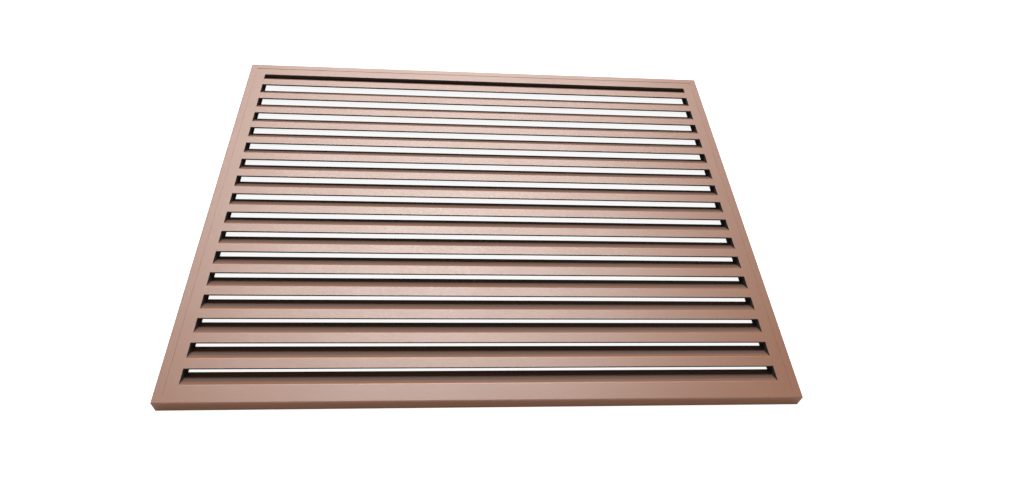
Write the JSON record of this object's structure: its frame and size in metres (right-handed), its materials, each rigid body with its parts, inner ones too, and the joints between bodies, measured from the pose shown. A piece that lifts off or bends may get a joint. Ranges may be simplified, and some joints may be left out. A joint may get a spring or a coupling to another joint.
{
  "type": "louvred sheet metal panel",
  "caption": "Flat sheet metal panel with a folded rim and full-width louvres: sloping blades let air through and screen what lies behind.",
  "frame": {"origin": "centre of the panel's footprint, on the plane of the rim's cut edges", "axes": "+X along the louvres, +Y from the front edge towards the rear edge, which the blades slope down to, +Z out of the face"},
  "size_m": [0.6, 0.486, 0.014],
  "materials": {
    "brown_coat": "fine-textured satin powder coat, warm brown"
  },
  "bodies": {
    "root": {"louvred_panel": "brown_coat"}
  },
  "joints": []
}
